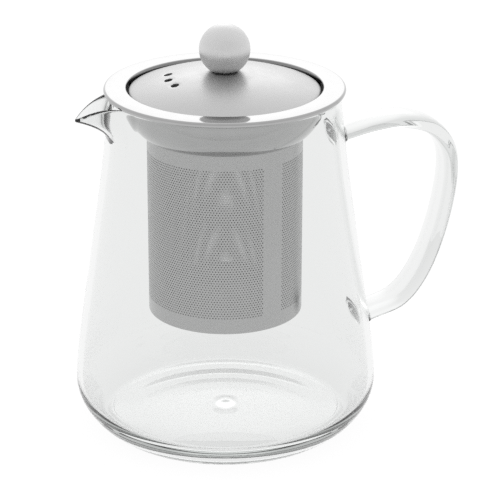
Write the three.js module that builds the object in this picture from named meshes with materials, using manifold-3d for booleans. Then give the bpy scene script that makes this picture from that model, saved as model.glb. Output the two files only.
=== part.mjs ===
// Glass teapot with a lift-out stainless infuser and a domed lid.
// Millimetres, +Z up. The origin is the centre of the jug's flat underside, on its axis.
// The handle stands along +X and the pouring spout points along -X.
// Neighbouring pieces keep a clearance of GAP, also where the real ones are welded or rest on each other.

import * as THREE from 'three';
import { mergeVertices } from 'three/addons/utils/BufferGeometryUtils.js';
import Module from 'manifold-3d';

const wasm = await Module();
wasm.setup();

// ---------------------------------------------------------------- driving dimensions

const GAP = 0.3;
const SHEET = 0.8;              // pressed and rolled stainless sheet
const AROUND = 44;              // facets round a large turned piece
const AROUND_BALL = 24;
const AROUND_FASTENER = 20;
const AROUND_HOLE = 12;

const JUG = {
  rimTop: 125.9,                // height of the fire-polished mouth
  mouthRadius: 41.2,
  neck: [44.3, 98],             // radius and height of a point on the straight side
  waist: [48.5, 68],
  bellyRadius: 55.3,
  bellyHeight: 19.8,            // height where the side turns into the bottom corner
  footRadius: 39.9,
  wall: 2.2,
  floor: 3.0,
  nubRadius: 7,                 // low glass button left at the middle of the floor
  nubHeight: 1.6,
};

const SPOUT = {
  root: 109,                    // height where the pull starts
  reach: 11.9,                  // how far the lip is drawn out past the mouth
  drop: 6.1,                    // how far the lip dips below the mouth
  halfAngle: 16,                // degrees, at the rim
  flare: 6,                     // degrees wider at the root
  sweep: 1.9,                   // exponent of the concave underside
  tipRounding: 0.13,
  crowding: 0.6,                // how far the facets gather round the spout
};

const HANDLE = {
  thickness: 5.8,
  width: 13.2,
  squareness: 3,                // exponent of the rounded strap section
  // radius and height along the middle of the strap, from the upper weld to the lower one
  route: [
    [44.2, 106.4], [56, 108.6], [68, 109], [78.8, 105.3], [85, 98], [86.7, 88],
    [83.1, 66.3], [75.7, 47.8], [67.6, 38.6], [54.6, 34.2],
  ],
};

const COLLAR = {
  top: 128,
  flangeRadius: 43,
  edge: 1.8,                    // thickness of the hemmed flange edge
  bore: 35,
  bowlRadius: 36,
  bowlTop: 122.5,
  bowlRoundness: 1.37,          // exponent of the bowl's outline
  neckRadius: 28.9,
  neckTop: 113.2,
  neckBottom: 111,
};

const WALL = { radius: 27.9, sheet: 0.6, top: 112.9, bottom: 44.4 };
const BASE = { recess: 0.8, rim: 4, bend: 1.2 };

const DOME = { rimRadius: 34.1, rimHeight: 126.8, apex: 133.8, turndown: 1.2, screwHole: 2.4 };
const STEAM = { count: 3, radius: 1.6, ring: 20.4, spacing: 19, middle: 173.5 };    // degrees from +X
const SKIRT = { radius: 32.6, sheet: 0.7, top: 126, bottom: 118 };

const BALL = { radius: 9.1, centre: 141.4, flat: 134.1, sheet: 0.8, opening: 4.3 };
const BUSH = { radius: 4, bore: 2.3, height: 8 };
const WASHER = { radius: 5, bore: 2.4, thickness: 0.8, top: 132.5 };
const SCREW = {
  shank: 2,
  tip: 141.2,
  headRadius: 3.6,
  headHeight: 2.2,
  headRounding: 1,
  recessWidth: 0.9,
  recessLength: 4.4,
  recessDepth: 1.2,
};

// ---------------------------------------------------------------- materials

const glass = new THREE.MeshStandardMaterial({
  color: 0xe9eded, roughness: 0.04, metalness: 0, transparent: true, opacity: 0.35,
});
const polished = new THREE.MeshStandardMaterial({ color: 0xc9c9c8, roughness: 0.12, metalness: 1 });
const perforated = new THREE.MeshStandardMaterial({ color: 0xaeaeae, roughness: 0.35, metalness: 1 });
const satin = new THREE.MeshStandardMaterial({ color: 0xb9b9b8, roughness: 0.45, metalness: 1 });
const plated = new THREE.MeshStandardMaterial({ color: 0x9d9d9c, roughness: 0.3, metalness: 1 });

// ---------------------------------------------------------------- outlines and solids

const degrees = THREE.MathUtils.degToRad;
const pairs = (points) => points.map((p) => [p.x, p.y]);

// Points of a rounded corner: an ellipse or superellipse quarter about (cx, cz).
// It runs from (cx + a, cz) to (cx, cz + b); a negative a or b mirrors it.
function quarter(cx, cz, a, b, steps, roundness = 2) {
  const points = [];
  for (let i = 0; i <= steps; i += 1) {
    const turn = (i / steps) * (Math.PI / 2);
    const across = Math.cos(turn) ** (2 / roundness);
    const along = Math.sin(turn) ** (2 / roundness);
    points.push([cx + a * (i === steps ? 0 : across), cz + b * (i === 0 ? 0 : along)]);
  }
  return points;
}

function spline(points, steps) {
  const curve = new THREE.SplineCurve(points.map(([r, z]) => new THREE.Vector2(r, z)));
  return pairs(curve.getPoints(steps));
}

// A solid of revolution about Z from an outline of [radius, height] pairs.
// The outline runs anticlockwise as seen with the radius to the right and the height up.
function turned(outline, around = AROUND) {
  const points = outline.map(([r, z]) => new THREE.Vector2(r, z));
  return new THREE.LatheGeometry(points, around).rotateX(Math.PI / 2);
}

// A ring or tube: its outline is closed by going back to its first point.
function turnedRing(outline, around = AROUND) {
  return turned([...outline, outline[0]], around);
}

function rod(radius, bottom, top, around) {
  return new THREE.CylinderGeometry(radius, radius, top - bottom, around)
    .rotateX(Math.PI / 2)
    .translate(0, 0, (bottom + top) / 2);
}

function solid(geometry) {
  const bare = geometry.clone();
  bare.deleteAttribute('normal');
  bare.deleteAttribute('uv');
  const merged = mergeVertices(bare, 1e-4);
  return new wasm.Manifold(new wasm.Mesh({
    numProp: 3,
    vertProperties: new Float32Array(merged.attributes.position.array),
    triVerts: new Uint32Array(merged.index.array),
  }));
}

function geometryOf(manifold) {
  const mesh = manifold.getMesh();
  const geometry = new THREE.BufferGeometry();
  geometry.setAttribute('position', new THREE.BufferAttribute(new Float32Array(mesh.vertProperties), 3));
  geometry.setIndex(new THREE.BufferAttribute(new Uint32Array(mesh.triVerts), 1));
  return geometry;
}

function cut(geometry, ...tools) {
  return geometryOf(tools.reduce((body, tool) => body.subtract(solid(tool)), solid(geometry)));
}

function named(name, geometry, material) {
  const mesh = new THREE.Mesh(geometry, material);
  mesh.name = name;
  return mesh;
}

// ---------------------------------------------------------------- glass jug

// How strongly the lip is pulled at this angle from the spout's middle, from 0 to 1.
function pull(angle, lift) {
  const half = degrees(SPOUT.halfAngle + SPOUT.flare * (1 - lift));
  const rounded = (x) => Math.hypot(x, SPOUT.tipRounding);
  const away = (rounded(angle / half) - rounded(0)) / (rounded(1) - rounded(0));
  return away < 1 ? (1 - away) * (1 - away ** 4) : 0;
}

// Crowds the jug's facets towards the spout, then draws its lip out and down.
function drawSpout(geometry) {
  const position = geometry.attributes.position;
  for (let i = 0; i < position.count; i += 1) {
    const x = position.getX(i);
    const y = position.getY(i);
    const z = position.getZ(i);
    const radius = Math.hypot(x, y);
    const even = Math.atan2(y, -x);
    const angle = even - SPOUT.crowding * Math.sin(even);
    const lift = Math.max(0, (z - SPOUT.root) / (JUG.rimTop - SPOUT.root));
    const strength = pull(angle, lift);
    const reach = radius + SPOUT.reach * strength * lift ** SPOUT.sweep;
    position.setXYZ(i, -reach * Math.cos(angle), reach * Math.sin(angle), z - SPOUT.drop * strength * lift);
  }
  return geometry;
}

function jugBody() {
  const corner = JUG.bellyRadius - JUG.footRadius;
  const innerCorner = [corner - JUG.wall, JUG.bellyHeight - JUG.floor];
  const lip = JUG.wall / 2;
  const rim = JUG.rimTop - lip;
  const side = [[JUG.bellyRadius, JUG.bellyHeight], JUG.waist, JUG.neck, [JUG.mouthRadius, rim]];
  const outside = spline(side, 9);
  const inside = outside.map(([r, z]) => [r - JUG.wall, z]).reverse();
  const middle = JUG.mouthRadius - lip;
  const outline = [
    [0, 0],
    ...quarter(JUG.footRadius, JUG.bellyHeight, corner, -JUG.bellyHeight, 6).reverse(),
    ...outside.slice(1),
    ...quarter(middle, rim, lip, lip, 2).slice(1),
    ...quarter(middle, rim, -lip, lip, 2).reverse().slice(1),
    ...inside.slice(1),
    ...quarter(JUG.footRadius, JUG.bellyHeight, innerCorner[0], -innerCorner[1], 5).slice(1),
    ...quarter(0, JUG.floor, JUG.nubRadius, JUG.nubHeight, 3),
  ];
  return drawSpout(turned(outline));
}

// The strap's section is a superellipse, and its route lies in the plane y = 0.
function jugHandle() {
  const around = 14;
  const bulge = (value) => Math.sign(value) * Math.abs(value) ** (2 / HANDLE.squareness);
  const section = [];
  for (let i = 0; i < around; i += 1) {
    const turn = ((i + 0.5) / around) * 2 * Math.PI;
    const across = (HANDLE.width / 2) * bulge(Math.cos(turn));
    const through = (HANDLE.thickness / 2) * bulge(Math.sin(turn));
    section.push(new THREE.Vector2(across, through));
  }
  const route = new THREE.CatmullRomCurve3(HANDLE.route.map(([r, z]) => new THREE.Vector3(r, 0, z)));
  return new THREE.ExtrudeGeometry(new THREE.Shape(section), {
    steps: 26, extrudePath: route, bevelEnabled: false,
  });
}

// ---------------------------------------------------------------- infuser

function infuserCollar() {
  const half = COLLAR.edge / 2;
  const under = COLLAR.top - COLLAR.edge;
  const edge = COLLAR.flangeRadius - half;
  const lip = COLLAR.bowlRadius - COLLAR.bore;
  const drop = COLLAR.bowlTop - COLLAR.neckTop;
  const neckBore = WALL.radius + GAP;
  const bowl = (radius, neck, shift) => quarter(
    neck, COLLAR.bowlTop + shift, radius - neck, -drop, 6, COLLAR.bowlRoundness,
  );
  return turnedRing([
    ...bowl(COLLAR.bowlRadius, COLLAR.neckRadius, 0).reverse(),
    [COLLAR.bowlRadius, under],
    ...quarter(edge, under + half, half, -half, 2).reverse(),
    ...quarter(edge, under + half, half, half, 2).slice(1),
    ...quarter(COLLAR.bore + lip, COLLAR.top - lip, -lip, lip, 2).reverse(),
    ...bowl(COLLAR.bore, neckBore, SHEET / 2),
    [neckBore, COLLAR.neckBottom],
    [COLLAR.neckRadius, COLLAR.neckBottom],
  ]);
}

function infuserWall() {
  const bore = WALL.radius - WALL.sheet;
  return turnedRing([
    [bore, WALL.bottom], [WALL.radius, WALL.bottom], [WALL.radius, WALL.top], [bore, WALL.top],
  ]);
}

// A shallow dish with an upturned rim, standing just inside the wall.
function infuserBase() {
  const radius = WALL.radius - WALL.sheet - GAP;
  const under = WALL.bottom + BASE.recess;
  const bend = BASE.bend;
  return turned([
    [0, under],
    ...quarter(radius - bend, under + bend, bend, -bend, 3).reverse(),
    [radius, under + BASE.rim],
    [radius - WALL.sheet, under + BASE.rim],
    ...quarter(radius - bend, under + bend, bend - WALL.sheet, WALL.sheet - bend, 2),
    [0, under + WALL.sheet],
  ]);
}

// ---------------------------------------------------------------- lid

// The dome is part of a sphere through its rim and its apex.
const domeRise = DOME.apex - DOME.rimHeight;
const domeRadius = (DOME.rimRadius ** 2 + domeRise ** 2) / (2 * domeRise);
const domeHeight = (r) => DOME.apex - domeRadius + Math.sqrt(domeRadius ** 2 - r ** 2);

function lidDome() {
  const steps = 7;
  const outer = [];
  for (let i = 0; i <= steps; i += 1) {
    const r = DOME.screwHole + (DOME.rimRadius - DOME.screwHole) * (i / steps);
    outer.push([r, domeHeight(r)]);
  }
  const inner = outer.slice(0, -1).map(([r, z]) => [r, z - SHEET]);
  const brim = DOME.rimHeight - DOME.turndown;
  const inside = DOME.rimRadius - SHEET;
  const shell = turnedRing([
    ...inner,
    [inside, domeHeight(inside) - SHEET],
    [inside, brim],
    [DOME.rimRadius, brim],
    ...outer.reverse(),
  ]);
  const holes = [];
  for (let i = 0; i < STEAM.count; i += 1) {
    const angle = degrees(STEAM.middle + STEAM.spacing * (i - (STEAM.count - 1) / 2));
    const hole = rod(STEAM.radius, DOME.rimHeight, DOME.apex, AROUND_HOLE);
    holes.push(hole.translate(STEAM.ring * Math.cos(angle), STEAM.ring * Math.sin(angle), 0));
  }
  return cut(shell, ...holes);
}

// The ring under the dome that drops into the collar and rests on its bowl.
function lidSkirt() {
  const inside = SKIRT.radius - SKIRT.sheet;
  return turnedRing([
    [inside, SKIRT.bottom], [SKIRT.radius, SKIRT.bottom], [SKIRT.radius, SKIRT.top], [inside, SKIRT.top],
  ]);
}

function knobBall() {
  const inner = BALL.radius - BALL.sheet;
  const depth = BALL.centre - BALL.flat;
  const arc = (radius, down, steps) => {
    const from = -Math.asin(down / radius);
    const points = [];
    for (let i = 0; i <= steps; i += 1) {
      const turn = from + (Math.PI / 2 - from) * (i / steps);
      points.push([i === steps ? 0 : radius * Math.cos(turn), BALL.centre + radius * Math.sin(turn)]);
    }
    return points;
  };
  return turned([
    ...arc(inner, depth - BALL.sheet, 6).reverse(),
    [BALL.opening, BALL.flat + BALL.sheet],
    [BALL.opening, BALL.flat],
    ...arc(BALL.radius, depth, 10),
  ], AROUND_BALL);
}

function knobBush() {
  const top = BALL.flat + BUSH.height;
  return turnedRing([
    [BUSH.bore, BALL.flat], [BUSH.radius, BALL.flat], [BUSH.radius, top], [BUSH.bore, top],
  ], AROUND_FASTENER);
}

function knobWasher() {
  const bottom = WASHER.top - WASHER.thickness;
  return turnedRing([
    [WASHER.bore, bottom], [WASHER.radius, bottom], [WASHER.radius, WASHER.top], [WASHER.bore, WASHER.top],
  ], AROUND_FASTENER);
}

// A pan-head screw driven from below, with a crossed recess in its head.
function knobScrew() {
  const seat = WASHER.top - WASHER.thickness - GAP;
  const bottom = seat - SCREW.headHeight;
  const round = SCREW.headRounding;
  const body = turned([
    [0, bottom],
    ...quarter(SCREW.headRadius - round, bottom + round, round, -round, 3).reverse(),
    [SCREW.headRadius, seat],
    [SCREW.shank, seat],
    [SCREW.shank, SCREW.tip],
    [0, SCREW.tip],
  ], AROUND_FASTENER);
  const arm = (x, y) => new THREE.BoxGeometry(x, y, 2 * SCREW.recessDepth).translate(0, 0, bottom);
  return cut(body, arm(SCREW.recessLength, SCREW.recessWidth), arm(SCREW.recessWidth, SCREW.recessLength));
}

// ---------------------------------------------------------------- assembly

const jug = new THREE.Group();
jug.add(
  named('jug_body', jugBody(), glass),
  named('jug_handle', jugHandle(), glass),
);

const infuser = new THREE.Group();
infuser.add(
  named('infuser_collar', infuserCollar(), polished),
  named('infuser_wall', infuserWall(), perforated),
  named('infuser_base', infuserBase(), perforated),
);

const lid = new THREE.Group();
lid.add(
  named('lid_dome', lidDome(), polished),
  named('lid_skirt', lidSkirt(), polished),
  named('knob_ball', knobBall(), satin),
  named('knob_bush', knobBush(), plated),
  named('knob_washer', knobWasher(), plated),
  named('knob_screw', knobScrew(), plated),
);

const teapot = new THREE.Group();
teapot.add(jug, infuser, lid);

export default teapot;
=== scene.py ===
"""Glass teapot with a lift-out stainless infuser: the looks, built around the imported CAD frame.

Metres, +Z up. The jug's axis is the Z axis, the handle stands along +X and the spout along -X.
Outlines are lists of (radius, height) pairs, turned about the jug's axis.
"""

import math

import bpy
import numpy as np
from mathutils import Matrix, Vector
from mathutils.geometry import delaunay_2d_cdt


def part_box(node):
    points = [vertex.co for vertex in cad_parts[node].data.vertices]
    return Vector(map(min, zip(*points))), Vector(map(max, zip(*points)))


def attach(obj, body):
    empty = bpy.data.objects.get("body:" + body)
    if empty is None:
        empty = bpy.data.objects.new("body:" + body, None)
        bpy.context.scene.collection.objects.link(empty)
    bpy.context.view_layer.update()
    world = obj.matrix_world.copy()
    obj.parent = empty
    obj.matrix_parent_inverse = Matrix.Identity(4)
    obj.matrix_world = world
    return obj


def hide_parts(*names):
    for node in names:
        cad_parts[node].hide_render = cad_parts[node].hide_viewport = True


MM = 0.001

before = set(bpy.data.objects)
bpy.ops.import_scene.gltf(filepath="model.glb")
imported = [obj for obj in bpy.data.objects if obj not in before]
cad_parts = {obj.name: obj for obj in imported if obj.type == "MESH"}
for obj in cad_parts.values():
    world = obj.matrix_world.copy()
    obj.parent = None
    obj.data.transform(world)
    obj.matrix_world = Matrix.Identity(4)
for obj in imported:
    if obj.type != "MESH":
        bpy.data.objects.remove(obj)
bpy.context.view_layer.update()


def low(node):
    return np.array(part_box(node)[0])


def high(node):
    return np.array(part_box(node)[1])


# ---------------------------------------------------------------- sizes

JUG = {
    "rim_top": high("jug_body")[2] + 0.3 * MM,
    "mouth": 41.2 * MM,
    "neck": (44.2 * MM, 98 * MM),
    "waist": (48.5 * MM, 68 * MM),
    "belly": (high("jug_body")[0] - 0.2 * MM, 17.4 * MM),
    "foot": 42.2 * MM,
    "wall": 2.2 * MM,
    "floor": 4.6 * MM,
    "push_up": 1.6 * MM,
    "nub_radius": 7 * MM,
    "nub_height": 1.6 * MM,
    "nub_sharpness": 0.55,
    "flat_floor": 0.8,
}

SPOUT = {
    "root": 110.5 * MM,
    "reach": 13.2 * MM,
    "drop": 5.1 * MM,
    "half_angle": math.radians(22),
    "flare": math.radians(6),
    "sweep": 1.9,
    "drop_sweep": 1.3,
    "tip_rounding": 0.09,
    "thinning": 0.9 * MM,
    "crowding": 0.6,
}

HANDLE = {
    "thickness": 5.8 * MM,
    "width": high("jug_handle")[1] - low("jug_handle")[1] + 0.2 * MM,
    "squareness": 3,
    "weld_radius": 2.4 * MM,
    "weld_sink": 0.25 * MM,
    "end_sink": 1.2 * MM,
    "weld_stretch": 14 * MM,
    "route": [
        (44.2, 106.4), (56, 108.6), (68, 109), (78.8, 105.3), (85, 98),
        (86.7, 88), (83.1, 66.3), (75.7, 47.8), (67.6, 38.6), (54.6, 34.2),
    ],
}

COLLAR = {
    "top": high("infuser_collar")[2],
    "flange": high("infuser_collar")[0],
    "neck_bottom": low("infuser_collar")[2],
    "edge": 1.8 * MM,
    "bore": 35 * MM,
    "bowl": 36 * MM,
    "bowl_top": 122.5 * MM,
    "bowl_roundness": 1.37,
    "neck": 28.9 * MM,
    "neck_top": 111.5 * MM,
    "sheet": 0.7 * MM,
    "lip": 0.35 * MM,
    "fillet": 1.2 * MM,
    "wall_gap": 0.3 * MM,
    "inner_rise": 0.4 * MM,
    "neck_rounding": 0.15 * MM,
}

WALL = {
    "radius": high("infuser_wall")[0],
    "top": high("infuser_wall")[2],
    "bottom": low("infuser_wall")[2],
    "sheet": 0.4 * MM,
    "field_top": 105.9 * MM,
    "field_bottom": 49.9 * MM,
    "pitch": 1.03 * MM,
    "hole": 0.258 * MM,
    "seam_middle": math.radians(288.5),
    "seam_columns": 8,
}

BASE = {
    "radius": high("infuser_base")[0],
    "bottom": low("infuser_base")[2],
    "top": high("infuser_base")[2],
    "bend": 1.2 * MM,
    "sheet": 0.5 * MM,
    "field": 23.5 * MM,
    "field_margin": 0.7 * MM,
}

DOME = {
    "rim": high("lid_dome")[0],
    "apex": high("lid_dome")[2],
    "brim_bottom": low("lid_dome")[2],
    "rim_height": 126.8 * MM,
    "bend": 0.6 * MM,
    "sheet": 0.7 * MM,
    "screw_hole": 2.4 * MM,
    "bend_start": 33.6 * MM,
}
STEAM = {
    "count": 3,
    "radius": 1.6 * MM,
    "ring": 20.4 * MM,
    "spacing": math.radians(19),
    "middle": math.radians(173.5),
    "rounding": 0.12 * MM,
    "rounding_width": 0.4 * MM,
}
SKIRT = {
    "radius": high("lid_skirt")[0],
    "top": high("lid_skirt")[2],
    "bottom": low("lid_skirt")[2],
    "sheet": 0.6 * MM,
}
BALL = {
    "radius": high("knob_ball")[0],
    "flat": low("knob_ball")[2],
    "centre": high("knob_ball")[2] - high("knob_ball")[0],
    "sheet": 0.8 * MM,
    "opening": 4.3 * MM,
    "round_off": 0.35 * MM,
}

CAMERA = {
    "azimuth": math.radians(-18.4),
    "elevation": math.radians(21.36),
    "distance": 821.7 * MM,
    "aim_height": 69.3 * MM,
    "aim_sideways": 5.4 * MM,
    "lens": 169.6,
    "sensor": 36,
}

# levels: how bright the world is, from the point opposite the bright field's middle (0) to its middle (1).
STUDIO = {
    "floor_radius": 30.0,
    "field_height": math.radians(24),
    "levels": [(0.0, 0.39), (0.7, 0.47), (0.9, 0.5), (0.975, 0.6), (0.994, 0.94), (1.0, 0.97)],
    "strength": 2.0,
}

# ---------------------------------------------------------------- outlines


def bezier(p0, p1, p2, p3, steps):
    u = np.linspace(0, 1, steps + 1)[:, None]
    p0, p1, p2, p3 = (np.array(p, float) for p in (p0, p1, p2, p3))
    return (1 - u) ** 3 * p0 + 3 * (1 - u) ** 2 * u * p1 + 3 * (1 - u) * u**2 * p2 + u**3 * p3


def arc(centre, a, b, start, end, steps, roundness=2.0):
    """Points of an ellipse or superellipse with semi-axes a and b, between two angles in degrees."""
    turn = np.radians(np.linspace(start, end, steps + 1))
    cosine, sine = np.cos(turn), np.sin(turn)
    power = 2 / roundness
    across = np.sign(cosine) * np.abs(cosine) ** power
    along = np.sign(sine) * np.abs(sine) ** power
    return np.column_stack([centre[0] + a * across, centre[1] + b * along])


def chain(*parts):
    """Joins stretches of an outline, without the points that repeat where they meet."""
    points = np.vstack([np.atleast_2d(np.array(part, float)) for part in parts])
    keep = np.ones(len(points), bool)
    keep[1:] = np.linalg.norm(np.diff(points, axis=0), axis=1) > 1e-7
    return points[keep]


def unit(v):
    v = np.array(v, float)
    return v / np.linalg.norm(v, axis=-1, keepdims=True)


class Outline:
    """An open outline that is read by the distance along it. Its normal is on the left of its direction."""

    def __init__(self, points):
        self.points = np.array(points, float)
        steps = np.linalg.norm(np.diff(self.points, axis=0), axis=1)
        self.along = np.concatenate([[0], np.cumsum(steps)])
        self.length = self.along[-1]

    def at(self, s):
        return np.stack([np.interp(s, self.along, self.points[:, i]) for i in (0, 1)], -1)

    def tangent(self, s, reach=0.15 * MM):
        ahead = self.at(np.minimum(s + reach, self.length))
        behind = self.at(np.maximum(s - reach, 0))
        return unit(ahead - behind)

    def normal(self, s):
        t = self.tangent(s)
        return np.stack([-t[..., 1], t[..., 0]], -1)


# ---------------------------------------------------------------- meshes


def new_mesh(name, points, faces):
    mesh = bpy.data.meshes.new(name)
    mesh.from_pydata(np.asarray(points).tolist(), [], [list(map(int, f)) for f in faces])
    mesh.validate()
    return mesh


def new_piece(name, points, faces, body, material, sharp=40):
    return add_piece(name, new_mesh(name, points, faces), body, material, sharp)


def add_piece(name, mesh, body, material, sharp=40):
    mesh.shade_smooth()
    mesh.set_sharp_from_angle(angle=math.radians(sharp))
    mesh.materials.clear()
    mesh.materials.append(material)
    piece = bpy.data.objects.new(name, mesh)
    bpy.context.scene.collection.objects.link(piece)
    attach(piece, body)
    return piece


def turned(outline, around, closed=True):
    """Points and faces of an outline turned about Z. It runs anticlockwise with the radius to the right."""
    outline = np.array(outline, float)
    turn = np.linspace(0, 2 * math.pi, around, endpoint=False)
    count = len(outline)
    ring = np.stack([np.cos(turn), np.sin(turn)], -1)
    points = np.concatenate(
        [outline[None, :, :1] * ring[:, None, :], np.tile(outline[None, :, 1:], (around, 1, 1))], -1
    ).reshape(-1, 3)
    faces = []
    last = count if closed else count - 1
    poles = outline[:, 0] < 1e-9
    for j in range(around):
        k = (j + 1) % around
        for i in range(last):
            n = (i + 1) % count
            a, b, c, d = j * count + i, k * count + i, k * count + n, j * count + n
            if poles[i] and poles[n]:
                continue
            if poles[i]:
                faces.append((i, c, d))
            elif poles[n]:
                faces.append((a, b, n))
            else:
                faces.append((a, b, c, d))
    return points, faces


def drop_loose(points, faces):
    """Leaves out the points that no face uses."""
    used = np.unique(np.concatenate([np.array(f) for f in faces]))
    place = np.full(len(points), -1)
    place[used] = np.arange(len(used))
    return points[used], [tuple(place[list(f)]) for f in faces]


def turned_piece(name, outline, around, body, material, closed=True, sharp=40):
    points, faces = drop_loose(*turned(outline, around, closed))
    return new_piece(name, points, faces, body, material, sharp)


def double_skin(outside, inside, faces):
    """A closed sheet: two skins with the same faces, joined along every open edge of them."""
    count = len(outside)
    faces = [np.array(f) for f in faces]
    sizes = {len(f) for f in faces}
    edges = []
    for size in sizes:
        block = np.array([f for f in faces if len(f) == size])
        for i in range(size):
            edges.append(block[:, [i, (i + 1) % size]])
    edges = np.vstack(edges)
    ordered = np.sort(edges, axis=1)
    keys = ordered[:, 0] * count + ordered[:, 1]
    _, first, times = np.unique(keys, return_index=True, return_counts=True)
    open_edges = edges[first[times == 1]]
    a, b = open_edges[:, 0], open_edges[:, 1]
    walls = np.column_stack([b, a, a + count, b + count])
    skins = [tuple(f) for f in faces] + [tuple(f[::-1] + count) for f in faces]
    return np.vstack([outside, inside]), skins + [tuple(w) for w in walls]


# ---------------------------------------------------------------- materials


class Nodes:
    """A short way to write a material's or the world's node tree."""

    def __init__(self, tree):
        self.tree = tree

    def add(self, kind, **settings):
        node = self.tree.nodes.new(kind)
        for key, value in settings.items():
            setattr(node, key, value)
        return node

    def link(self, source, target):
        self.tree.links.new(source, target)

    def math(self, operation, first, second=0.0):
        node = self.add("ShaderNodeMath", operation=operation)
        for socket, value in zip(node.inputs, (first, second)):
            if isinstance(value, (int, float)):
                socket.default_value = value
            else:
                self.link(value, socket)
        return node.outputs[0]

    def ramp(self, factor, stops):
        node = self.add("ShaderNodeValToRGB")
        elements = node.color_ramp.elements
        while len(elements) < len(stops):
            elements.new(0.5)
        for element, (position, value) in zip(elements, stops):
            element.position = position
            element.color = (value, value, value, 1)
        self.link(factor, node.inputs["Fac"])
        return node.outputs["Color"]


def new_material(name):
    material = bpy.data.materials.new(name)
    material.use_nodes = True
    nodes = Nodes(material.node_tree)
    shader = material.node_tree.nodes["Principled BSDF"]
    return material, nodes, shader


def glass_material():
    """Clear borosilicate glass with a faint ripple, a little darker where it is thick."""
    material, nodes, shader = new_material("clear_borosilicate")
    shader.inputs["Base Color"].default_value = (0.91, 0.915, 0.912, 1)
    shader.inputs["Roughness"].default_value = 0.0
    shader.inputs["IOR"].default_value = 1.45
    shader.inputs["Transmission Weight"].default_value = 1.0
    place = nodes.add("ShaderNodeTexCoord").outputs["Object"]
    ripple = nodes.add("ShaderNodeTexNoise")
    ripple.inputs["Scale"].default_value = 45
    ripple.inputs["Detail"].default_value = 1
    nodes.link(place, ripple.inputs["Vector"])
    bump = nodes.add("ShaderNodeBump")
    bump.inputs["Strength"].default_value = 0.25
    bump.inputs["Distance"].default_value = 0.05 * MM
    nodes.link(ripple.outputs["Fac"], bump.inputs["Height"])
    nodes.link(bump.outputs["Normal"], shader.inputs["Normal"])
    output = material.node_tree.nodes["Material Output"]
    depth = nodes.add("ShaderNodeVolumeAbsorption")
    depth.inputs["Color"].default_value = (0.0, 0.04, 0.02, 1)
    depth.inputs["Density"].default_value = 8
    nodes.link(depth.outputs[0], output.inputs["Volume"])
    return material


def steel_material(name, colour, roughness, spread=0.04, lines=0.0, mottle=0.0):
    """Stainless steel. lines is the depth of its turned lines about the axis, mottle that of its cloud."""
    material, nodes, shader = new_material(name)
    shader.inputs["Metallic"].default_value = 1.0
    place = nodes.add("ShaderNodeTexCoord").outputs["Object"]
    cloud = nodes.add("ShaderNodeTexNoise")
    cloud.inputs["Scale"].default_value = 180
    cloud.inputs["Detail"].default_value = 4
    nodes.link(place, cloud.inputs["Vector"])
    rough = nodes.ramp(cloud.outputs["Fac"], [(0.3, roughness - spread), (0.7, roughness + spread)])
    nodes.link(rough, shader.inputs["Roughness"])
    tone = nodes.ramp(cloud.outputs["Fac"], [(0.25, colour * 0.97), (0.75, colour * 1.03)])
    nodes.link(tone, shader.inputs["Base Color"])
    heights = []
    if lines:
        split = nodes.add("ShaderNodeSeparateXYZ")
        nodes.link(place, split.inputs[0])
        x2 = nodes.math("MULTIPLY", split.outputs[0], split.outputs[0])
        y2 = nodes.math("MULTIPLY", split.outputs[1], split.outputs[1])
        radius = nodes.math("SQRT", nodes.math("ADD", x2, y2))
        join = nodes.add("ShaderNodeCombineXYZ")
        nodes.link(radius, join.inputs[0])
        nodes.link(split.outputs[2], join.inputs[1])
        turned_lines = nodes.add("ShaderNodeTexNoise")
        turned_lines.inputs["Scale"].default_value = 6000
        turned_lines.inputs["Detail"].default_value = 2
        nodes.link(join.outputs[0], turned_lines.inputs["Vector"])
        heights.append((turned_lines.outputs["Fac"], lines))
    if mottle:
        heights.append((cloud.outputs["Fac"], mottle))
    normal = None
    for height, depth in heights:
        bump = nodes.add("ShaderNodeBump")
        bump.inputs["Distance"].default_value = depth
        nodes.link(height, bump.inputs["Height"])
        if normal is not None:
            nodes.link(normal, bump.inputs["Normal"])
        normal = bump.outputs["Normal"]
    if normal is not None:
        nodes.link(normal, shader.inputs["Normal"])
    return material


glass = glass_material()
mirror = steel_material("mirror_steel", 0.43, 0.07, spread=0.02)
lid_steel = steel_material("lid_steel", 0.53, 0.36, lines=0.004 * MM)
perforated = steel_material("perforated_steel", 0.47, 0.28)
satin = steel_material("satin_steel", 0.68, 0.42, spread=0.08, mottle=0.02 * MM)
fastener = steel_material("fastener_steel", 0.5, 0.3)

# ---------------------------------------------------------------- glass jug


def jug_outside():
    """The outer outline from the middle of the underside up to where the rim's rounding starts."""
    foot, wall = JUG["foot"], JUG["wall"]
    belly, waist, neck = (np.array(JUG[k]) for k in ("belly", "waist", "neck"))
    rim = np.array([JUG["mouth"], JUG["rim_top"] - wall / 2])
    up = unit(neck - belly)
    over = unit(rim - waist)
    out = unit(rim - neck)
    foot_reach, corner_drop, side_rise = 3 * MM, 9.7 * MM, 9.4 * MM
    taper, bend, rim_bend = 18 * MM, 10 * MM, 9 * MM
    bottom = bezier((0, JUG["push_up"]), (foot * 0.6, JUG["push_up"]), (foot * 0.85, 0), (foot, 0), 24)
    corner = bezier((foot, 0), (foot + foot_reach, 0), belly - [0, corner_drop], belly, 26)
    side = bezier(belly, belly + [0, side_rise], waist - up * taper, waist, 24)
    upper = bezier(waist, waist + up * bend, neck - over * bend, neck, 12)
    top = bezier(neck, neck + over * rim_bend, rim - out * rim_bend, rim, 26)
    return chain(bottom, corner, side, upper, top)


def pull(angle, lift):
    """How strongly the lip is pulled at this angle from the spout's middle, from 0 to 1."""
    half = SPOUT["half_angle"] + SPOUT["flare"] * (1 - lift)
    soft = SPOUT["tip_rounding"]
    away = (np.hypot(angle / half, soft) - soft) / (math.hypot(1, soft) - soft)
    return np.where(away < 1, (1 - away) ** 2, 0)


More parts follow.
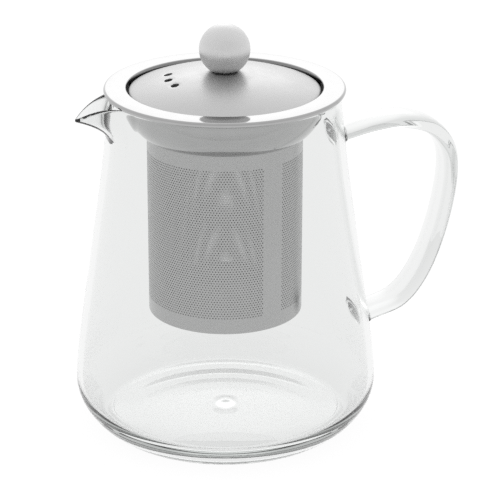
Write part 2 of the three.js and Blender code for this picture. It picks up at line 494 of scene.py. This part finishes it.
def spout_lift(z):
    return np.clip((z - SPOUT["root"]) / (JUG["rim_top"] - JUG["wall"] / 2 - SPOUT["root"]), 0, None)


def jug_surface(angle, outline, s):
    """Points of the jug's outside: angle is measured from -X, s along the outline."""
    r, z = np.moveaxis(outline.at(s), -1, 0)
    lift = spout_lift(z)
    strength = pull(angle, lift)
    r = r + SPOUT["reach"] * strength * lift ** SPOUT["sweep"]
    z = z - SPOUT["drop"] * strength**2 * lift ** SPOUT["drop_sweep"]
    return np.stack([-r * np.cos(angle), r * np.sin(angle), z], -1)


def jug_shell():
    """The glass wall as one closed skin: outside, rounded rim, inside, floor."""
    around = 256
    outline = Outline(jug_outside())
    even = np.linspace(-math.pi, math.pi, around, endpoint=False)
    angle = even - SPOUT["crowding"] * np.sin(even)
    rows = outline.along[1:]
    grid_angle, grid_s = np.meshgrid(angle, rows, indexing="ij")
    outside = jug_surface(grid_angle, outline, grid_s)
    turn, step = 1e-4, 0.05 * MM
    across = jug_surface(grid_angle + turn, outline, grid_s) - jug_surface(grid_angle - turn, outline, grid_s)
    ahead = np.minimum(grid_s + step, outline.length)
    behind = np.maximum(grid_s - step, 0)
    along = unit(jug_surface(grid_angle, outline, ahead) - jug_surface(grid_angle, outline, behind))
    normal = unit(np.cross(along, across))
    r, z = np.moveaxis(outline.at(rows), -1, 0)
    lift = spout_lift(z)
    wall = JUG["wall"] - SPOUT["thinning"] * pull(grid_angle, lift[None, :]) * lift
    floor_share = np.clip((JUG["belly"][1] - z) / JUG["belly"][1], 0, 1) ** 2
    wall = wall + (JUG["floor"] - JUG["wall"]) * floor_share
    inside = outside - normal * wall[..., None]
    corner = np.searchsorted(r[: len(r) // 3], JUG["foot"])
    rim = rounded_rim(outside[:, -1], inside[:, -1], along[:, -1], 12)
    inner_corner_radius = np.hypot(inside[0, corner, 0], inside[0, corner, 1])
    floor = nub_outline(inner_corner_radius, inside[0, corner, 2])
    spokes = np.stack([-np.cos(angle), np.sin(angle)], -1)
    flat = np.concatenate(
        [floor[None, :-1, :1] * spokes[:, None, :], np.tile(floor[None, :-1, 1:], (around, 1, 1))], -1
    )
    skin = np.concatenate([outside, rim, inside[:, :corner:-1], flat], axis=1)
    return closed_grid(skin, (0, 0, outline.points[0, 1]), (0, 0, floor[-1, 1]))


def rounded_rim(outer, inner, up, steps):
    """A half circle from the outer to the inner edge, bulging up, without its two ends."""
    middle = (outer + inner) / 2
    half = (outer - inner) / 2
    radius = np.linalg.norm(half, axis=-1, keepdims=True)
    turns = np.linspace(0, math.pi, steps + 1)[1:-1]
    arcs = [middle + half * math.cos(t) + up * radius * math.sin(t) for t in turns]
    return np.stack(arcs, axis=1)


def nub_outline(radius, height):
    """The inner floor from its corner to the middle, where a low glass button stands."""
    dense = 12 * MM
    r = np.concatenate([np.linspace(radius, dense, 14)[1:], np.linspace(dense, 0, 19)[1:]])
    flat = JUG["flat_floor"]
    blend = np.clip((r - radius * flat) / (radius * (1 - flat)), 0, 1) ** 2
    bump = JUG["nub_height"] * np.exp(-((r / (JUG["nub_radius"] * JUG["nub_sharpness"])) ** 2))
    return np.column_stack([r, JUG["floor"] + (height - JUG["floor"]) * blend + bump])


def closed_grid(skin, first_pole, last_pole):
    """A grid of columns round the axis, closed at both ends by a point on it."""
    around, count = skin.shape[:2]
    points = np.vstack([skin.reshape(-1, 3), [first_pole, last_pole]])
    j = np.arange(around)[:, None]
    k = (j + 1) % around
    i = np.arange(count - 1)[None, :]
    quads = np.stack([j * count + i, j * count + i + 1, k * count + i + 1, k * count + i], -1)
    faces = [tuple(f) for f in quads.reshape(-1, 4)]
    start, end = len(points) - 2, len(points) - 1
    for a in range(around):
        b = (a + 1) % around
        faces.append((start, a * count, b * count))
        faces.append((end, b * count + count - 1, a * count + count - 1))
    return points, faces


def smooth_route(knots, steps):
    """A centripetal Catmull-Rom curve through the knots, even in its length."""
    knots = np.array(knots, float)
    knots = np.vstack([2 * knots[0] - knots[1], knots, 2 * knots[-1] - knots[-2]])
    points = []
    for i in range(1, len(knots) - 2):
        p = knots[i - 1 : i + 3]
        t = np.concatenate([[0], np.cumsum(np.linalg.norm(np.diff(p, axis=0), axis=1) ** 0.5)])
        u = np.linspace(t[1], t[2], 40, endpoint=i == len(knots) - 3)[:, None]
        a = [((t[k + 1] - u) * p[k] + (u - t[k]) * p[k + 1]) / (t[k + 1] - t[k]) for k in range(3)]
        b = [((t[k + 2] - u) * a[k] + (u - t[k]) * a[k + 1]) / (t[k + 2] - t[k]) for k in range(2)]
        points.append(((t[2] - u) * b[0] + (u - t[1]) * b[1]) / (t[2] - t[1]))
    route = Outline(np.vstack(points))
    return route, np.linspace(0, route.length, steps + 1)


def handle_strap():
    """The glass strap, flared into a weld where it meets the wall, with both ends inside the wall."""
    around, above_foot = 56, 30
    route, places = smooth_route(np.array(HANDLE["route"]) * MM, 120)
    crowd, end_sink = HANDLE["weld_stretch"], HANDLE["end_sink"]
    near = np.linspace(0, crowd, 41)
    middle = places[(places > crowd) & (places < route.length - crowd)]
    s = np.concatenate([near, middle, route.length - near[::-1]])
    spine, tangent = route.at(s), route.tangent(s, 0.6 * MM)
    ends = {0: -end_sink, len(s) - 1: end_sink}
    for i, shift in ends.items():
        spine[i] = spine[i] + tangent[i] * shift
    width, thickness = HANDLE["width"], HANDLE["thickness"]
    section = arc((0, 0), width / 2, thickness / 2, 0, 360, around, HANDLE["squareness"])[:-1]
    outward = unit(np.column_stack([section[:, 0] ** 3 / width**3, section[:, 1] ** 3 / thickness**3]))
    radii, heights = jug_outside()[above_foot:].T
    rings = []
    for centre, t in zip(spine, tangent):
        through = np.array([-t[1], 0, t[0]])
        across = np.array([0, 1.0, 0])
        base = np.array([centre[0], 0, centre[1]]) + section[:, :1] * across + section[:, 1:] * through
        distance = np.hypot(base[:, 0], base[:, 1]) - np.interp(base[:, 2], heights, radii)
        flare = weld_flare(distance)
        rings.append(base + (outward[:, :1] * across + outward[:, 1:] * through) * flare[:, None])
    points = np.vstack(rings)
    count = len(rings)
    i = np.arange(count - 1)[:, None]
    j = np.arange(around)[None, :]
    k = (j + 1) % around
    quads = np.stack([i * around + j, i * around + k, (i + 1) * around + k, (i + 1) * around + j], -1)
    faces = [tuple(f) for f in quads.reshape(-1, 4)]
    faces.append(tuple(range(around))[::-1])
    faces.append(tuple((count - 1) * around + n for n in range(around)))
    return points, faces


def weld_flare(distance):
    """How far the strap's skin stands out at this distance from the jug's wall, as a round fillet."""
    radius, sink = HANDLE["weld_radius"], HANDLE["weld_sink"]
    height = np.clip(distance + sink, 0, radius)
    return radius - np.sqrt(np.maximum(radius**2 - (radius - height) ** 2, 0))


def plain_object(name, points, faces):
    made = bpy.data.objects.new(name, new_mesh(name, points, faces))
    bpy.context.scene.collection.objects.link(made)
    return made


def joined(first, second, operation="UNION"):
    """The exact boolean of two closed objects as a new mesh. Both objects are removed."""
    cut = first.modifiers.new("join", "BOOLEAN")
    cut.operation = operation
    cut.object = second
    cut.solver = "EXACT"
    graph = bpy.context.evaluated_depsgraph_get()
    mesh = bpy.data.meshes.new_from_object(first.evaluated_get(graph), depsgraph=graph)
    for made in (first, second):
        bpy.data.objects.remove(made)
    return mesh


def make_jug():
    shell = plain_object("shell", *jug_shell())
    strap = plain_object("strap", *handle_strap())
    piece = add_piece("jug_glass", joined(shell, strap), "jug", glass, sharp=60)
    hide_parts("jug_body", "jug_handle")
    return piece


# ---------------------------------------------------------------- infuser


def make_collar():
    """The pressed collar: a hemmed flange, a rounded bowl and a short neck that holds the basket."""
    c = COLLAR
    half = c["edge"] / 2
    under = c["top"] - c["edge"]
    hem = c["flange"] - half
    lip, fillet, rounding = c["lip"], c["fillet"], c["neck_rounding"]
    bore = WALL["radius"] + c["wall_gap"]
    fall = c["bowl_top"] - c["neck_top"]
    bend = c["bowl_roundness"]
    outer_bowl = arc((c["neck"], c["bowl_top"]), c["bowl"] - c["neck"], fall, -90, 0, 24, bend)
    inner_bowl = arc((bore, c["bowl_top"] + c["inner_rise"]), c["bore"] - bore, fall, 0, -90, 24, bend)
    sheet_bottom = c["top"] - c["sheet"]
    neck_end = c["neck_bottom"] + rounding
    outline = chain(
        [(c["neck"], neck_end)],
        outer_bowl,
        arc((c["bowl"] + fillet, sheet_bottom - fillet), fillet, fillet, 180, 90, 8),
        arc((hem, under + half), half, half, -225, 90, 26),
        arc((c["bore"] + lip, c["top"] - lip), lip, lip, 90, 180, 8),
        inner_bowl,
        [(bore, neck_end)],
        arc((bore + rounding, neck_end), rounding, rounding, 180, 270, 3),
        arc((c["neck"] - rounding, neck_end), rounding, rounding, 270, 360, 3),
    )
    piece = turned_piece("infuser_collar_pressed", outline[:-1], 160, "infuser", mirror)
    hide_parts("infuser_collar")
    return piece


def wall_lattice():
    """The rolled basket sheet laid flat: points (half-pitches, height), faces and each face's column."""
    columns = round(2 * math.pi * WALL["radius"] / WALL["pitch"])
    height = WALL["field_top"] - WALL["field_bottom"]
    rows = round(height / (WALL["pitch"] * math.sqrt(3) / 2))
    row_height = height / rows
    half_pitch = 2 * math.pi * WALL["radius"] / columns / 2
    around = 2 * columns
    below = np.linspace(WALL["bottom"], WALL["field_bottom"], 4)[:-1]
    above = np.linspace(WALL["field_top"], WALL["top"], 5)[1:]
    lines = np.concatenate([below, WALL["field_bottom"] + row_height * np.arange(rows + 1), above])
    first = len(below)
    grid_k, grid_z = np.meshgrid(np.arange(around), lines)
    points = [np.column_stack([grid_k.ravel().astype(float), grid_z.ravel()])]
    total = len(points[0])
    faces, owner = [], []
    plain = WALL["seam_columns"]
    star = np.radians([-150, -90, -30, 30, 90, 150])
    for line_index in range(len(lines) - 1):
        row = line_index - first
        base, top = line_index * around, (line_index + 1) * around
        shift = row % 2
        for column in range(columns):
            k = [(2 * column + shift + n) % around for n in (-1, 0, 1)]
            ring = [base + k[0], base + k[1], base + k[2], top + k[2], top + k[1], top + k[0]]
            holed = 0 <= row < rows and column >= plain
            if not holed:
                faces.append((ring[0], ring[1], ring[4], ring[5]))
                faces.append((ring[1], ring[2], ring[3], ring[4]))
                owner += [column, column]
                continue
            middle = (lines[line_index] + lines[line_index + 1]) / 2
            hole = np.column_stack(
                [
                    2 * column + shift + WALL["hole"] / half_pitch * np.cos(star),
                    middle + WALL["hole"] * np.sin(star),
                ]
            )
            points.append(hole)
            own = list(range(total, total + 6))
            total += 6
            for n in range(6):
                m = (n + 1) % 6
                faces.append((ring[n], ring[m], own[m], own[n]))
                owner.append(column)
    return np.vstack(points), np.array(faces), np.array(owner), columns


def make_wall():
    """The perforated basket wall with its real holes, as two half sheets that meet at the seam strip."""
    flat, faces, owner, columns = wall_lattice()
    middle = (WALL["seam_columns"] - 1) / 2
    turn = (flat[:, 0] / 2 - middle) / columns * 2 * math.pi + WALL["seam_middle"]
    ring = np.column_stack([np.cos(turn), np.sin(turn)])
    skins = [
        np.column_stack([ring * radius, flat[:, 1]])
        for radius in (WALL["radius"], WALL["radius"] - WALL["sheet"])
    ]
    split = WALL["seam_columns"] // 2
    half = (columns + 1) // 2
    first = (owner >= split) & (owner < split + half)
    made = []
    for name, chosen in (("infuser_wall_right", first), ("infuser_wall_left", ~first)):
        points, all_faces = double_skin(skins[0], skins[1], faces[chosen])
        piece = new_piece(name, *drop_loose(points, all_faces), "infuser", perforated)
        made.append(piece)
    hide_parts("infuser_wall")
    return made


def holed_plane(rings, holes, sides):
    """A flat disc of triangles with round holes. A ring is (radius, points, fixed), a hole (x, y, radius)."""
    clear_of_hole = 0.25 * MM
    turn = np.linspace(0, 2 * math.pi, sides, endpoint=False)
    points, edges, seen = [], [], 0
    for x, y, radius in holes:
        points.append(np.column_stack([x + radius * np.cos(turn), y + radius * np.sin(turn)]))
        edges += [(seen + n, seen + (n + 1) % sides) for n in range(sides)]
        seen += sides
    for radius, count, fixed in rings:
        spokes = np.linspace(0, 2 * math.pi, count, endpoint=False)
        ring = np.column_stack([radius * np.cos(spokes), radius * np.sin(spokes)])
        if fixed:
            edges += [(seen + n, seen + (n + 1) % count) for n in range(count)]
        else:
            gaps = [np.hypot(ring[:, 0] - x, ring[:, 1] - y) - r for x, y, r in holes]
            if len(gaps):
                ring = ring[np.min(gaps, axis=0) > clear_of_hole]
        points.append(ring)
        seen += len(ring)
    points = np.vstack(points)
    scaled = [Vector(p) for p in (points / MM)]
    flat, _, triangles, *_ = delaunay_2d_cdt(scaled, edges, [], 0, 1e-6)
    flat = np.array(flat) * MM
    triangles = np.array([t for t in triangles])
    corners = flat[triangles]
    middle = corners.mean(axis=1)
    turned_right = np.cross(corners[:, 1] - corners[:, 0], corners[:, 2] - corners[:, 0]) < 0
    triangles[turned_right] = triangles[turned_right][:, ::-1]
    keep = np.ones(len(triangles), bool)
    inner = min(radius for radius, _, fixed in rings if fixed)
    outer = max(radius for radius, _, fixed in rings if fixed)
    away = np.hypot(middle[:, 0], middle[:, 1])
    if inner < outer:
        keep &= away > inner * 0.999
    for x, y, radius in holes:
        keep &= np.hypot(middle[:, 0] - x, middle[:, 1] - y) > radius * 0.9
    return flat, triangles[keep]


def make_base():
    """The basket's perforated bottom, a shallow dish with an upturned rim."""
    b = BASE
    pitch = WALL["pitch"]
    lattice = []
    reach = int(b["field"] / pitch) + 1
    for row in range(-reach, reach + 1):
        for column in range(-reach, reach + 1):
            x = (column + 0.5 * (row % 2)) * pitch
            y = row * pitch * math.sqrt(3) / 2
            if math.hypot(x, y) < b["field"]:
                lattice.append((x, y, WALL["hole"]))
    bend = b["bend"]
    profile = Outline(
        chain(
            [(0, b["bottom"])],
            arc((b["radius"] - bend, b["bottom"] + bend), bend, bend, -90, 0, 8),
            [(b["radius"], b["top"])],
        )
    )
    around, bend_rings = 120, 5
    edge = b["radius"] - bend
    rings = [(r, around, False) for r in (b["field"] + b["field_margin"], edge)]
    bend_length = bend * math.pi / 2
    rings += [(edge + bend_length * n / bend_rings, around, False) for n in range(1, bend_rings + 1)]
    rings += [(profile.length, around, True)]
    flat, faces = holed_plane(rings, lattice, 6)
    outside, inside = dish_skins(profile, flat, b["sheet"])
    points, all_faces = double_skin(outside, inside, faces[:, ::-1])
    piece = new_piece("infuser_base_sheet", *drop_loose(points, all_faces), "infuser", perforated)
    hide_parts("infuser_base")
    return piece


def dish_skins(profile, flat, sheet):
    """Lifts flat points onto a turned profile, whose distance from the middle is the way along it."""
    s = np.hypot(flat[:, 0], flat[:, 1])
    spoke = flat / np.maximum(s, 1e-9)[:, None]
    at, normal = profile.at(s), profile.normal(s)
    inner = at + normal * sheet
    return [np.column_stack([spoke * rz[:, :1], rz[:, 1]]) for rz in (at, inner)]


# ---------------------------------------------------------------- lid


def dome_profile():
    """The dome's outer outline from its middle, over the rim's bend and down the brim."""
    d = DOME
    rise = d["apex"] - d["rim_height"]
    radius = (d["rim"] ** 2 + rise**2) / (2 * rise)
    slope = math.degrees(math.asin(d["rim"] / radius))
    centre = (0, d["apex"] - radius)
    bend = d["bend"]
    start = slope * (1 - 2 * bend / d["rim"])
    top = arc(centre, radius, radius, 90, 90 - start, 60)
    last = top[-1]
    along = np.array([math.cos(math.radians(start)), -math.sin(math.radians(start))])
    corner = last + along * (d["rim"] - last[0]) / along[0]
    turn = np.array([d["rim"], corner[1] - bend])
    curve = bezier(last, (last + corner) / 2 + (corner - last) * 0.1, corner, turn, 10)
    return Outline(chain(top, curve, [(d["rim"], d["brim_bottom"])]))


def make_dome():
    profile = dome_profile()
    holes = []
    for n in range(STEAM["count"]):
        angle = STEAM["middle"] + STEAM["spacing"] * (n - (STEAM["count"] - 1) / 2)
        holes.append((STEAM["ring"] * math.cos(angle), STEAM["ring"] * math.sin(angle), STEAM["radius"]))
    count, fewest = 160, 40
    first, step, bend_start = 3.2 * MM, 0.95 * MM, DOME["bend_start"]
    rings = [(DOME["screw_hole"], fewest, True)]
    radii = first + step * np.arange(math.ceil((bend_start - first) / step))
    rings += [(r, max(fewest, int(count * r / DOME["rim"])), False) for r in radii]
    last = profile.length
    rings += [(r, count, False) for r in np.linspace(bend_start, last, 9)[:-1]]
    rings += [(last, count, True)]
    flat, faces = holed_plane(rings, holes, 36)
    outside, inside = dish_skins(profile, flat, -DOME["sheet"])
    for x, y, radius in holes:
        gap = np.hypot(flat[:, 0] - x, flat[:, 1] - y) - radius
        dip = STEAM["rounding"] * np.clip(1 - gap / STEAM["rounding_width"], 0, 1) ** 2
        outside[:, 2] -= dip
    points, all_faces = double_skin(outside, inside, faces)
    piece = new_piece("lid_dome_sheet", *drop_loose(points, all_faces), "lid", lid_steel, sharp=50)
    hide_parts("lid_dome")
    return piece


def make_skirt():
    s = SKIRT
    inside = s["radius"] - s["sheet"]
    half = s["sheet"] / 2
    outline = chain(
        arc((inside + half, s["bottom"] + half), half, half, 180, 360, 8),
        arc((inside + half, s["top"] - half), half, half, 0, 180, 8),
    )
    piece = turned_piece("lid_skirt_ring", outline, 160, "lid", mirror)
    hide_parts("lid_skirt")
    return piece


def make_ball():
    """The hollow spun knob with its flat foot."""
    b = BALL
    depth = b["centre"] - b["flat"]
    inner = b["radius"] - b["sheet"]
    foot = math.degrees(math.asin(depth / b["radius"]))
    inner_foot = math.degrees(math.asin((depth - b["sheet"]) / inner))
    round_off = b["round_off"]
    foot_radius = math.sqrt(b["radius"] ** 2 - depth**2)
    outline = chain(
        arc((0, b["centre"]), inner, inner, 90, -inner_foot, 30),
        [(b["opening"], b["flat"] + b["sheet"]), (b["opening"], b["flat"])],
        bezier(
            (foot_radius - round_off, b["flat"]),
            (foot_radius, b["flat"]),
            (foot_radius, b["flat"]),
            (foot_radius + round_off * 0.7, b["flat"] + round_off),
            5,
        ),
        arc((0, b["centre"]), b["radius"], b["radius"], -foot + 4, 90, 56),
    )
    outline[np.abs(outline[:, 0]) < 1e-9, 0] = 0
    piece = turned_piece("knob_ball_spun", outline, 96, "lid", satin, closed=False)
    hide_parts("knob_ball")
    return piece


def finish_fasteners():
    """The bush, washer and screw keep their CAD shape and get a plated steel finish."""
    for name in ("knob_bush", "knob_washer", "knob_screw"):
        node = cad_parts[name]
        node.data.materials.clear()
        node.data.materials.append(fastener)


# ---------------------------------------------------------------- studio


def place_camera():
    a, e = CAMERA["azimuth"], CAMERA["elevation"]
    back = Vector((math.sin(a) * math.cos(e), -math.cos(a) * math.cos(e), math.sin(e)))
    right = Vector((math.cos(a), math.sin(a), 0))
    data = bpy.data.cameras.new("camera")
    data.lens = CAMERA["lens"]
    data.sensor_width = CAMERA["sensor"]
    camera = bpy.data.objects.new("camera", data)
    camera.rotation_mode = "QUATERNION"
    target = Vector((0, 0, CAMERA["aim_height"])) + right * CAMERA["aim_sideways"]
    camera.location = target + back * CAMERA["distance"]
    camera.rotation_quaternion = (-back).to_track_quat("-Z", "Y")
    bpy.context.scene.collection.objects.link(camera)
    bpy.context.scene.camera = camera
    return back


def make_floor():
    """A wide pale floor that glows evenly, so it reads as plain white paper under soft light."""
    material, _, shader = new_material("pale_floor")
    shader.inputs["Base Color"].default_value = (0.1, 0.1, 0.1, 1)
    shader.inputs["Roughness"].default_value = 0.9
    shader.inputs["Specular IOR Level"].default_value = 0.0
    shader.inputs["Emission Color"].default_value = (1, 1, 1, 1)
    shader.inputs["Emission Strength"].default_value = 0.94
    material.cycles.emission_sampling = "NONE"
    mesh = bpy.data.meshes.new("floor")
    turn = np.linspace(0, 2 * math.pi, 64, endpoint=False)
    radius = STUDIO["floor_radius"]
    mesh.from_pydata([(radius * math.cos(t), radius * math.sin(t), 0) for t in turn], [], [range(64)])
    mesh.materials.append(material)
    floor = bpy.data.objects.new("floor", mesh)
    bpy.context.scene.collection.objects.link(floor)


def light_world(back):
    """An even dim room with one bright soft field, high behind the object as the camera sees it."""
    world = bpy.data.worlds.new("studio")
    bpy.context.scene.world = world
    world.use_nodes = True
    nodes = Nodes(world.node_tree)
    direction = nodes.add("ShaderNodeTexCoord").outputs["Generated"]
    glow = nodes.add("ShaderNodeVectorMath", operation="DOT_PRODUCT")
    glow.inputs[1].default_value = soft_box_direction(back)
    nodes.link(direction, glow.inputs[0])
    near = nodes.math("MULTIPLY_ADD", glow.outputs["Value"], 0.5)
    near.node.inputs[2].default_value = 0.5
    level = nodes.ramp(near, STUDIO["levels"])
    background = world.node_tree.nodes["Background"]
    nodes.link(level, background.inputs["Color"])
    background.inputs["Strength"].default_value = STUDIO["strength"]


def soft_box_direction(back):
    """Behind the object as the camera sees it, where the flat top of the collar mirrors it."""
    behind = Vector((-back.x, -back.y, 0)).normalized()
    height = STUDIO["field_height"]
    return behind * math.cos(height) + Vector((0, 0, math.sin(height)))


back = place_camera()
make_floor()
light_world(back)

scene = bpy.context.scene
scene.view_settings.view_transform = "Standard"
# The denoiser would smear the fine perforation. Long light paths keep the grain of the glass low without it.
scene.cycles.use_denoising = False
scene.cycles.min_light_bounces = 16
scene.cycles.max_bounces = 48
scene.cycles.transmission_bounces = 48
scene.cycles.glossy_bounces = 12
scene.cycles.transparent_max_bounces = 32

# ---------------------------------------------------------------- the object

make_jug()
make_collar()
make_wall()
make_base()
make_dome()
make_skirt()
make_ball()
finish_fasteners()
